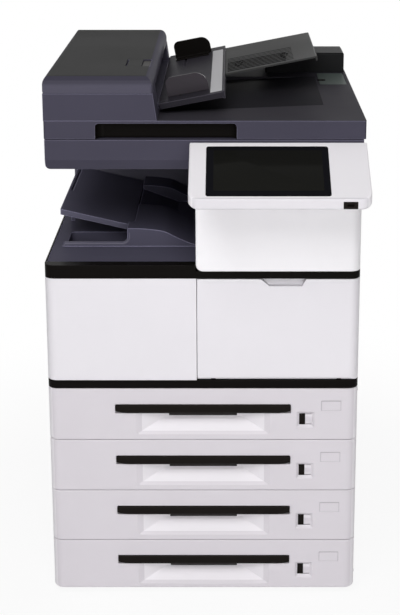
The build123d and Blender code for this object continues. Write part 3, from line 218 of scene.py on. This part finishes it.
def piece(name, rings, material, body, closed=False):
    """Mesh over rings of points in mm, smooth but for its sharp edges, that rides on a body."""
    mesh = bpy.data.meshes.new(name)
    mesh.from_pydata((rings.reshape(-1, 3) / 1000).tolist(), [], skin(rings, closed))
    mesh.shade_smooth()
    mesh.set_sharp_from_angle(angle=math.radians(35))
    mesh.materials.append(material)
    made = bpy.data.objects.new(name, mesh)
    bpy.context.scene.collection.objects.link(made)
    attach(made, body)


def round_rim(width, depth, radius, steps=7):
    """Rounded rectangle, anticlockwise: each corner's centre plus radius times (cos a, sin a)."""
    a = (np.arange(4)[:, None] * math.pi / 2 + np.linspace(0, math.pi / 2, steps)).ravel()
    signs = np.repeat([[1, 1], [-1, 1], [-1, -1], [1, -1]], steps, axis=0)
    corner = signs * [width / 2 - radius, depth / 2 - radius]
    return corner + radius * np.stack([np.cos(a), np.sin(a)], -1)


def plate(width, depth, radius, levels, origin, across=(1, 0, 0), along=(0, 1, 0)):
    """Rings of a round-cornered plate: at each (height, inset) level its rim is drawn in.
    The plate lies in the plane of across and along, with its middle at the origin."""
    rings = []
    for height, inset in levels:
        rim = round_rim(width - 2 * inset, depth - 2 * inset, max(radius - inset, 0.05))
        rings.append(np.column_stack([rim, np.full(len(rim), height)]))
    axes = np.array([across, along, np.cross(across, along)], float)
    return np.array(origin) + np.array(rings) @ axes


def rectangle(width, height):
    """Corners of a rectangle about zero, anticlockwise."""
    return np.array([[width, height], [-width, height], [-width, -height], [width, -height]]) / 2


def outline(corners, reach, low, high, origin, across=(1, 0, 0), along=(0, 1, 0)):
    """Rings of a raised line round a convex outline, given anticlockwise about zero.
    Each corner goes the reach in and out by its own signs: corner +- reach * sign(corner)."""
    way = corners / np.abs(corners)
    rings = np.stack([np.column_stack([corners + side * reach * way, np.full(len(corners), height)])
                      for side, height in ((-1, low), (-1, high), (1, high), (1, low))], 1)
    axes = np.array([across, along, np.cross(across, along)], float)
    return np.array(origin) + rings @ axes


front_y = -261.0
facing_front = ((1, 0, 0), (0, 0, 1))
# The scoop is painted paler: painted light where its floor faces up to the lamps.
scoop_middle, scoop_depth = front_y + 23, 38
front_abs_lit_scoop = zoned("off_white_ABS_drawer_with_painted_light_scoop", drawer_abs_painted_shade, "Y",
                  scoop_middle, scoop_depth, "#e8e4e9")
# A grey line round the card recess paints the shade along its edges.
card_shade_line_grey = grained("grey_painted_shade_line", "#b4afb6", 0.5, 1.0, 0.01)
window_x, window_sink, window_drop = 192.5, 6.6, 65.75
card_x, card_drop, card_shade_width = 248.25, 36.3, 0.55
for number in range(1, 5):
    tray = f"tray_{number}"
    top = 1000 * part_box(f"{tray}_front")[1].z
    # A black plate at the back of the size window paints the shade in the open slot beside the
    # drum.
    slot_shade_plate = plate(11.3, 23.1, 0.6, [(-1.4, 0), (0, 0), (0.4, 0.3)],
                   (window_x, front_y + window_sink, top - window_drop), *facing_front)
    piece(f"{tray}_size_slot_painted_shade", slot_shade_plate, black_abs, tray)
    card = outline(rectangle(38, 20.2), card_shade_width, -0.9, -0.05,
                   (card_x, front_y, top - card_drop), *facing_front)
    piece(f"{tray}_card_painted_shade_line", card, card_shade_line_grey, tray, closed=True)
    dress(front_abs_lit_scoop, f"{tray}_front")
    dress(black_abs, f"{tray}_handle")
    dress(grey_pan, f"{tray}_pan", f"{tray}_end_guide")
    dress(zinc, f"{tray}_lift_plate")


# Front and side doors with the fold-down bypass tray, moulded like the covers.
# Behind the front door stand a grey moulded inner cover and the black toner bottles.
dress(white_abs, "front_door", "side_door", "bypass_tray")
dress(grained("grey_ABS_moulded_grain", "#7b7d80", 0.5, 1.2, 0.04), "inner_cover")
dress(black_abs, "toner_cartridges", "power_inlet", "power_switch")


# Output deck, its sloping wing and the housing round the output space, moulded dark grey ABS.
# Their greys are lighter than the scanner's, painted light in the shaded space under the scanner,
# the housing most of all. Their edges carry painted highlights, and the round bead before the
# pocket is painted lighter still, a painted highlight along it.
deck_abs_painted_light = grained("dark_grey_ABS_deck_painted_light", "#575565", 0.5, 1.4, 0.04,
                   spread=0.03, edge_mm=3.0, gloss=0.01, pale=3.0)
wing_abs_painted_light = grained("dark_grey_ABS_wing_painted_light", "#636172", 0.5, 1.4, 0.04,
                   spread=0.03, edge_mm=3.0, gloss=0.01, pale=2.0)
dark_abs = grained("dark_grey_ABS_moulded_grain", "#474552", 0.55, 1.4, 0.05,
                   spread=0.03, edge_mm=2.6, gloss=0.008, pale=2.4)
housing_abs_painted_light = grained("dark_grey_ABS_housing_painted_light", "#74727f", 0.55, 1.4, 0.05,
                    spread=0.03, edge_mm=1.6, gloss=0.008, pale=0.2)
# The bead's grey is lighter than the deck's: a painted highlight on the round bar.
bead_abs_painted_light = grained("dark_grey_ABS_bead_painted_light", "#6c6a78", 0.35, 1.4, 0.02,
                   spread=0.03, edge_mm=1.0, gloss=0.1)
# These lighter greys are painted light for the shade under the scanner.
dress(deck_abs_painted_light, "output_shelf")
dress(wing_abs_painted_light, "exit_tray")
dress(housing_abs_painted_light, "exit_unit", "panel_bracket")
dress(rubber, "exit_rollers", "pickup_roller", "feed_roller")


def rod(path, normal, radius, steps=12):
    """Rings of a round rod along a path in one plane, whose normal is given: each ring is the
    path's point plus radius times (n cos a + normal sin a), where n = normal x tangent."""
    way = np.gradient(path, axis=0)
    way /= np.linalg.norm(way, axis=1)[:, None]
    side = np.cross(normal, way)
    a = np.linspace(0, 2 * math.pi, steps, endpoint=False)[None, :, None]
    ring = side[:, None] * np.cos(a) + np.array(normal, float) * np.sin(a)
    return path[:, None] + radius * ring


bead_left, bead_level, bead_top, bead_y, bead_radius = -274.5, 695.0, 718.0, front_y + 134, 4.25
bend_x, bend_radius = -160.0, 14.0
a = np.linspace(-math.pi / 2, 0, 9)
bend = np.stack([bend_x + bend_radius * np.cos(a), bead_level + bend_radius * (1 + np.sin(a))], -1)
start = np.array([bead_left, bead_level]) + [[0, -4.5], [0, -1.4], [0.4, -0.4], [1.4, 0]]
line = np.concatenate([start, bend, [[bend_x + bend_radius, bead_top]]])
bead = np.stack([line[:, 0], np.full(len(line), bead_y), line[:, 1]], -1)
piece("pocket_bead_roll", rod(bead, (0, 1, 0), bead_radius), bead_abs_painted_light, "machine")


# Scanner: a moulded housing, panes of clear float glass, a ground steel rod and a black carriage.
dress(dark_abs, "scanner_housing")
glass, _, glass_shader = finish_of("clear_float_glass", "#dfeeea", 0.02)
glass_shader.inputs["Transmission Weight"].default_value = 1.0
glass_shader.inputs["IOR"].default_value = 1.52
dress(glass, "platen_glass")
dress(black_abs, "scan_carriage")
dress(finish_of("ground_steel_rod", "#b9bbbd", 0.22, 1.0)[0], "carriage_rail")


# Scanner lid, moulded dark grey ABS, with a white film over foam as its backing.
# Its front edge is of the bare grey; the rest is painted darker, painted shade for its dim top. The
# grip has a polished black liner.
# On top are a near black sheet that paints the tray's shade where sheets come out, a grey-green
# hatch cover and a stop for paper.
def wall(path, thickness, low, high):
    """Rings of an upright wall: the plan path goes half the thickness along its normal each way."""
    way = np.gradient(path, axis=0)
    normal = np.stack([-way[:, 1], way[:, 0]], -1) / np.linalg.norm(way, axis=1)[:, None]
    left, right = path + normal * thickness / 2, path - normal * thickness / 2
    sides = [(left, low), (left, high), (right, high), (right, low)]
    return np.stack([np.column_stack([side, np.full(len(side), z)]) for side, z in sides], 1)


def recess_path(left, right, front, back, radius, steps=10):
    """Plan line of a recess: in from the front, round a quarter circle, along the back and out."""
    a = np.linspace(0, math.pi / 2, steps)
    turn_in = np.stack([-np.cos(a), np.sin(a)], -1)
    turn_out = np.stack([np.sin(a), np.cos(a)], -1)
    first = np.array([left + radius, back - radius]) + radius * turn_in
    second = np.array([right - radius, back - radius]) + radius * turn_out
    return np.concatenate([[[left, front]], first, second, [[right, front]]])


# All of the lid behind its front face is painted darker: painted shade for its dim top.
top_shade_middle, top_shade_depth = 240, 998
top_shade_abs = zoned("dark_grey_ABS_painted_shade_top", dark_abs, "Y", top_shade_middle, top_shade_depth, "#37353b")
dress(top_shade_abs, "lid_cover")
dress(grained("white_film_over_foam", "#e9e8e4", 0.55, 4.0, 0.03), "platen_pad")
lid_floor = 1000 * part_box("lid_cover")[0].z
lid_top = 969.3
grip = recess_path(-196.2, 64.2, front_y + 0.4, front_y + 19.2, 15)
liner = wall(grip, 1.2, lid_floor + 0.4, lid_floor + 28.5)
piece("lid_grip_liner", liner, black_gloss, "lid")

# A near black sheet over the sloping delivery area paints the shade cast by the document tray.
delivery_left, delivery_right, delivery_drop = -82.0, 234.0, 12.9
delivery_front_left, delivery_front_right, delivery_back = front_y + 86, front_y + 155.5, front_y + 469
plan = np.array([[delivery_left, delivery_front_left], [delivery_right, delivery_front_right],
                 [delivery_right, delivery_back], [delivery_left, delivery_back]])
inner = plan.mean(axis=0) + 0.994 * (plan - plan.mean(axis=0))
fall = delivery_drop / (delivery_right - delivery_left)
delivery_shade_sheet = np.array([np.column_stack([flat, lid_top + rise - fall * (delivery_right - flat[:, 0])])
                for flat, rise in ((plan, -0.6), (plan, 0.1), (inner, 0.35))])
delivery_shade_abs = grained("near_black_painted_shade_sheet", "#1f1e22", 0.6, 1.2, 0.05,
                  spread=0.04, edge_mm=0.8, gloss=0.01)
piece("delivery_area_painted_shade", delivery_shade_sheet, delivery_shade_abs, "lid")

hatch_abs = grained("grey_green_ABS_hatch", "#555d5a", 0.5, 1.4, 0.03,
                    spread=0.03, edge_mm=0.6, gloss=0.02, pale=1.0)
hatch = plate(56, 136, 3, [(-0.9, 0), (-0.4, 0), (-0.05, 0.3)], (268.5, 185.5, lid_top))
piece("lid_hatch", hatch, hatch_abs, "lid")
stop = plate(18, 12, 5.9, [(-0.5, 0), (0.8, 0), (1.6, 0.8)], (246, 165, lid_top))
piece("lid_paper_stop", stop, black_gloss, "lid")


# Hinge cap of moulded ABS, clipped over the box at the lid's rear right corner; its near black tone
# is painted shade for the dark under the document tray's leaf.
# It is a tray turned over, with a bevel round its top.
cap_height, cap_bevel = 43.0, 3.2
cap_abs_painted_shade = grained("near_black_ABS_cap_painted_shade", "#232324", 0.5, 1.4, 0.04,
                  spread=0.03, edge_mm=2.0, gloss=0.01, pale=1.5)
cap = plate(171.4, 98.4, 4.7, [(0.3, 0), (cap_height - cap_bevel, 0), (cap_height, cap_bevel)],
            (215, 311.5, lid_top))
piece("lid_hinge_cap", cap, cap_abs_painted_shade, "lid")


# Document feeder on the lid, moulded dark grey ABS: a base, a hinged cover and a latch in its top.
# The cover's bevel is painted paler, a painted highlight where it faces up; its crown is painted a
# neutral darker grey and its right end near black, painted shade; and a black plate in the latch's
# well paints the shade there.
crown_level = 1047.9
# Painted highlight on the bevel, painted shade on the crown and on the cover's right end.
bevel_abs_painted_light = zoned("dark_grey_ABS_bevel_painted_highlight", dark_abs, "Y", front_y + 7, 16, "#52505d")
crown_abs_painted_shade = zoned("dark_grey_ABS_crown_painted_shade", bevel_abs_painted_light, "Z", crown_level, 1.2, "#434343")
dress(dark_abs, "feeder_base")
dress(crown_abs_painted_shade, "feeder_latch")
dress(zoned("dark_grey_ABS_end_painted_shade", crown_abs_painted_shade, "X", -80, 17, "#28272b"), "feeder_cover")
# A black plate in the latch's finger well paints the shade in the recess.
well_depth, well_length = 2.6, 78
latch_low, latch_high = (1000 * np.array(corner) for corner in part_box("feeder_latch"))
well_left, well_right = latch_high[0] + 0.5, latch_high[0] + 15.6
well_middle = ((well_left + well_right) / 2, (latch_low[1] + latch_high[1]) / 2,
               crown_level - well_depth)
well = plate(well_right - well_left, well_length, 2, [(-0.4, 0), (0.3, 0.2)], well_middle)
piece("latch_well_painted_shade", well, black_abs, "feeder_cover")


# Document tray with its slide-out leaf, moulded dark grey ABS, and the two paper guides, of which
# the front one is smoky. A bare strip of pale film lies along the tray's end. The leaf has ten
# strips against slip, the front seven of them between its ribs, and two raised size marks.
tray_abs = grained("dark_grey_ABS_document_tray", "#2f2d33", 0.4, 1.4, 0.04,
                   spread=0.03, edge_mm=2.4, gloss=0.01, pale=3.0)
leaf_abs = grained("dark_grey_ABS_leaf", "#424242", 0.45, 1.4, 0.04,
                   spread=0.03, edge_mm=1.6, gloss=0.01, pale=1.2)
smoky = grained("smoked_polystyrene_guide", "#3e3a3f", 0.25, 5.0, 0.003,
                spread=0.05, edge_mm=1.4, gloss=0.04, pale=-0.6)
film = grained("matt_film_strip", "#c9c8cb", 0.5, 2.0, 0.01, spread=0.03, edge_mm=0.3, gloss=0.1)
strip_rubber = grained("black_rubber_strip_matt", "#0d0d0d", 0.7, 1.0, 0.03,
                       spread=0.03, edge_mm=0.4, gloss=0.01)
dress(tray_abs, "document_tray")
dress(leaf_abs, "tray_extension")
dress(smoky, "document_guide_front")
dress(black_gloss, "document_guide_rear")
slope = math.radians(11)
tray_foot = np.array([-82.0, front_y, 988.3])
tray_across = (math.cos(slope), 0, math.sin(slope))
tray_axes = np.array([tray_across, (0, 1, 0), np.cross(tray_across, (0, 1, 0))])


def on_tray(up_slope, rearward, off):
    """Point on the sloping tray: its foot plus the ways up the slope, to the rear and off it."""
    return tray_foot + np.array([up_slope, rearward, off]) @ tray_axes


label = plate(22.5, 500, 2, [(-0.3, 0), (0.2, 0), (0.35, 0.15)], on_tray(110, 330, 0), tray_across)
piece("tray_label_strip", label, film, "document_tray")
leaf_level = -4.3
strip_middle, strip_start, strip_pitch = 199.4, 300, 116 / 7
for number in range(10):
    place = on_tray(strip_middle, strip_start + (number + 0.5) * strip_pitch, leaf_level)
    strip = plate(137.3, 5.5, 1.5, [(-0.7, 0), (0.1, 0), (0.14, 0.1)], place, tray_across)
    piece(f"leaf_strip_{number + 1}", strip, strip_rubber, "tray_extension")
mark = np.array([[8.5, 0.01], [0.01, 32], [-8.5, -0.01], [-0.01, -32]])
mark_line, mark_rearward = 1.5, 376
for number, up_slope in enumerate((154, 250)):
    diamond = outline(mark, mark_line, -0.4, 0.15, on_tray(up_slope, mark_rearward, leaf_level),
                      tray_across)
    piece(f"leaf_size_mark_{number + 1}", diamond, strip_rubber, "tray_extension",
          closed=True)


# Tilting control panel: a moulded off-white housing, a black touch screen and a socket insert.
# The lit field of the display shows as a slightly paler rectangle under the polished glass.
panel_front, shaded_rim_depth = 1000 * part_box("control_panel")[0].y, 8
# The housing's tone is lifted, painted light on its sloping top, and its front rim is painted
# darker, painted shade.
panel_abs_painted_light = white_grained("off_white_ABS_panel_painted_light", "#f4f1f5")
panel_abs_painted_light = zoned("off_white_ABS_panel_with_painted_shade_rim", panel_abs_painted_light, "Y", panel_front, shaded_rim_depth,
                  "#dcd9de")
screen_glass = grained("black_glass_over_display", "#131317", 0.12, 8.0, 0.001,
                       spread=0.02, edge_mm=0.8, gloss=0.01)
field_glass = grained("black_glass_lit_field", "#1c1c1a", 0.12, 8.0, 0.001,
                      spread=0.02, edge_mm=0.5, gloss=0.01)
dress(panel_abs_painted_light, "control_panel")
dress(screen_glass, "touch_screen")
dress(black_abs, "usb_port")
panel_run, panel_rise = 140, 71.2
panel_tilt = math.atan2(panel_rise, panel_run)
panel_along = np.array([0, math.cos(panel_tilt), math.sin(panel_tilt)])
panel_top, field_down = np.array([121.2, front_y - 3, 928.9]), 77.5
field = plate(198, 112, 2, [(-0.3, 0), (0.06, 0), (0.12, 0.1)],
              panel_top - field_down * panel_along, (1, 0, 0), panel_along)
piece("display_field", field, field_glass, "control_panel")


# Fixings of the rear and right panels: pan-head steel screws with a round socket, turned, pressed
# and zinc plated. They stand along the rear panel's edges and in the corners of the right cover.
screw_zinc, screw_tree, screw_shader = finish_of("zinc_plated_steel", "#b5b7b8", 0.35, 1.0)
place = add(screw_tree, "ShaderNodeTexCoord").outputs["Object"]
crystals = add(screw_tree, "ShaderNodeTexNoise", {"Vector": place}, {"Scale": 900.0})
sheen = add(screw_tree, "ShaderNodeMapRange", {"Value": crystals.outputs["Fac"]},
            {"To Min": 0.22, "To Max": 0.48})
screw_tree.links.new(sheen.outputs["Result"], screw_shader.inputs["Roughness"])
head_size, head_radius = 7.4, 3.65
head = [(-0.6, 0), (0.9, 0), (1.7, 0.5), (2.0, 1.4), (2.0, 2.5), (0.9, 2.6)]
facing_rear, facing_right = ((-1, 0, 0), (0, 0, 1)), ((0, 1, 0), (0, 0, 1))
rear_y = 1000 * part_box("rear_cover")[1].y
right_x = 1000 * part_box("right_cover")[1].x
rear_places = [(x, rear_y, z) for z in (36, 428, 462, 640) for x in (-284, -95, 95, 284)]
side_places = [(right_x, y, z) for z in (36, 428) for y in (-226, 350)]
for panel, places, facing in (("rear", rear_places, facing_rear),
                              ("side", side_places, facing_right)):
    for number, origin in enumerate(places):
        screw = plate(head_size, head_size, head_radius, head, origin, *facing)
        piece(f"{panel}_screw_{number + 1}", screw, screw_zinc, "machine")


# Connector panel on the rear: a black plate in a raised rim, with two square sockets and two flat
# ones. The sockets are plain generic shells of plated steel, pressed and folded.
bay = np.array([-205, rear_y, 560])
back = plate(118, 46, 3, [(-0.6, 0), (0.8, 0), (1.2, 0.4)], bay, *facing_rear)
piece("connector_plate", back, black_abs, "machine")
frame_line = outline(rectangle(122, 50), 1.5, -0.5, 2.6, bay, *facing_rear)
piece("connector_rim", frame_line, white_abs, "machine", closed=True)
sockets = ((-40, 14.5, 13.5), (-12, 12, 11), (16, 14, 6.5), (41, 14, 6.5))
for number, (x, width, height) in enumerate(sockets):
    middle = bay - np.array([x, 0, 0])
    shell = outline(rectangle(width, height), 0.6, 0.9, 3.4, middle, *facing_rear)
    piece(f"socket_shell_{number + 1}", shell, screw_zinc, "machine", closed=True)
    tongue = plate(0.62 * width, 0.22 * height, 0.5, [(0.9, 0), (2.4, 0), (2.8, 0.3)],
                   middle + np.array([0, 0, 0.1 * height]), *facing_rear)
    piece(f"socket_tongue_{number + 1}", tongue, black_gloss, "machine")


# Pale paper floor under soft studio light. Its colour runs out to white away from the machine,
# while every ray that lights the machine meets the plain paper.
def floor_mesh(radius, rings, spokes):
    """Flat disc: x = r cos a, y = r sin a, z = 0 on a grid of radii r and angles a."""
    r = radius * np.linspace(0, 1, rings)[1:]
    a = np.linspace(0, 2 * math.pi, spokes, endpoint=False)
    flat = np.stack([np.outer(r, np.cos(a)), np.outer(r, np.sin(a))], -1).reshape(-1, 2)
    points = np.column_stack([np.concatenate([[[0, 0]], flat]), np.zeros(len(flat) + 1)])
    i, j = np.meshgrid(np.arange(len(r) - 1), np.arange(spokes), indexing="ij")
    k, near, far = (j + 1) % spokes, i * spokes, (i + 1) * spokes
    quads = np.stack([near + j, far + j, far + k, near + k], -1)
    rim = 1 + np.arange(spokes)
    hub = np.stack([np.zeros(spokes, int), rim, 1 + rim % spokes], -1)
    mesh = bpy.data.meshes.new("studio_floor")
    mesh.from_pydata(points.tolist(), [], (quads.reshape(-1, 4) + 1).tolist() + hub.tolist())
    return mesh


def seen_rays(tree):
    """Socket that is 1 for the rays that show the backdrop: camera, glossy and transmission."""
    rays = add(tree, "ShaderNodeLightPath").outputs
    seen = add(tree, "ShaderNodeMath", {0: rays["Is Camera Ray"], 1: rays["Is Glossy Ray"]},
               operation="MAXIMUM")
    seen = add(tree, "ShaderNodeMath", {0: seen.outputs[0], 1: rays["Is Transmission Ray"]},
               operation="MAXIMUM")
    return seen.outputs[0]


floor = bpy.data.objects.new("studio_floor", floor_mesh(9.0, 24, 64))
bpy.context.scene.collection.objects.link(floor)
paper, paper_tree, paper_shader = finish_of("pale_studio_paper", "#f7f7f7", 0.9)
place = add(paper_tree, "ShaderNodeTexCoord").outputs["Object"]
reach = add(paper_tree, "ShaderNodeVectorMath", {0: place}, operation="LENGTH")
fade = add(paper_tree, "ShaderNodeMapRange", {"Value": reach.outputs["Value"]},
           {"From Min": 0.4, "From Max": 1.4, "To Min": 0.9, "To Max": 1.0},
           interpolation_type="SMOOTHSTEP")
share = add(paper_tree, "ShaderNodeMath", {0: seen_rays(paper_tree), 1: fade.outputs["Result"]},
            operation="MULTIPLY")
white = add(paper_tree, "ShaderNodeEmission", None, {"Color": (1, 1, 1, 1), "Strength": 1.0})
both = add(paper_tree, "ShaderNodeMixShader",
           {0: share.outputs[0], 1: paper_shader.outputs[0], 2: white.outputs[0]})
paper_tree.links.new(both.outputs[0], paper_tree.nodes["Material Output"].inputs["Surface"])
floor.data.materials.append(paper)


# Studio world: white where it is seen, and a faint even light on the machine.
world = bpy.data.worlds.new("studio")
world.use_nodes = True
bpy.context.scene.world = world
sky = world.node_tree
ambient = sky.nodes["Background"]
ambient.inputs["Color"].default_value = (1, 1, 1, 1)
ambient.inputs["Strength"].default_value = 0.13
backdrop = add(sky, "ShaderNodeBackground", None, {"Color": (1, 1, 1, 1), "Strength": 1.0})
both = add(sky, "ShaderNodeMixShader",
           {0: seen_rays(sky), 1: ambient.outputs[0], 2: backdrop.outputs[0]})
sky.links.new(both.outputs[0], sky.nodes["World Output"].inputs["Surface"])


# Four soft square lamps, in metres and watts: a key from above, and fills from before, behind
# and the left.
def soft_lamp(name, place, aim, size, power):
    """Square studio light that faces a point."""
    lamp = bpy.data.lights.new(name, "AREA")
    lamp.size = size
    lamp.energy = power
    lit = bpy.data.objects.new(name, lamp)
    way = np.array(aim) - np.array(place)
    flat = math.hypot(way[0], way[1])
    lit.location = place
    lit.rotation_euler = (math.atan2(flat, -way[2]), 0, math.atan2(way[1], way[0]) - math.pi / 2)
    bpy.context.scene.collection.objects.link(lit)


soft_lamp("key_light", (-0.5, -2.8, 3.35), (0, 0, 0.8), 2.4, 82)
soft_lamp("fill_light", (0.9, -3.4, 0.95), (0, 0, 0.7), 1.8, 32)
soft_lamp("rear_light", (1.2, 3.2, 0.9), (0, 0, 0.6), 2.0, 26)
soft_lamp("side_light", (-2.6, -2.0, 1.3), (0, 0, 0.8), 1.4, 8)
bpy.context.scene.view_settings.view_transform = "Standard"
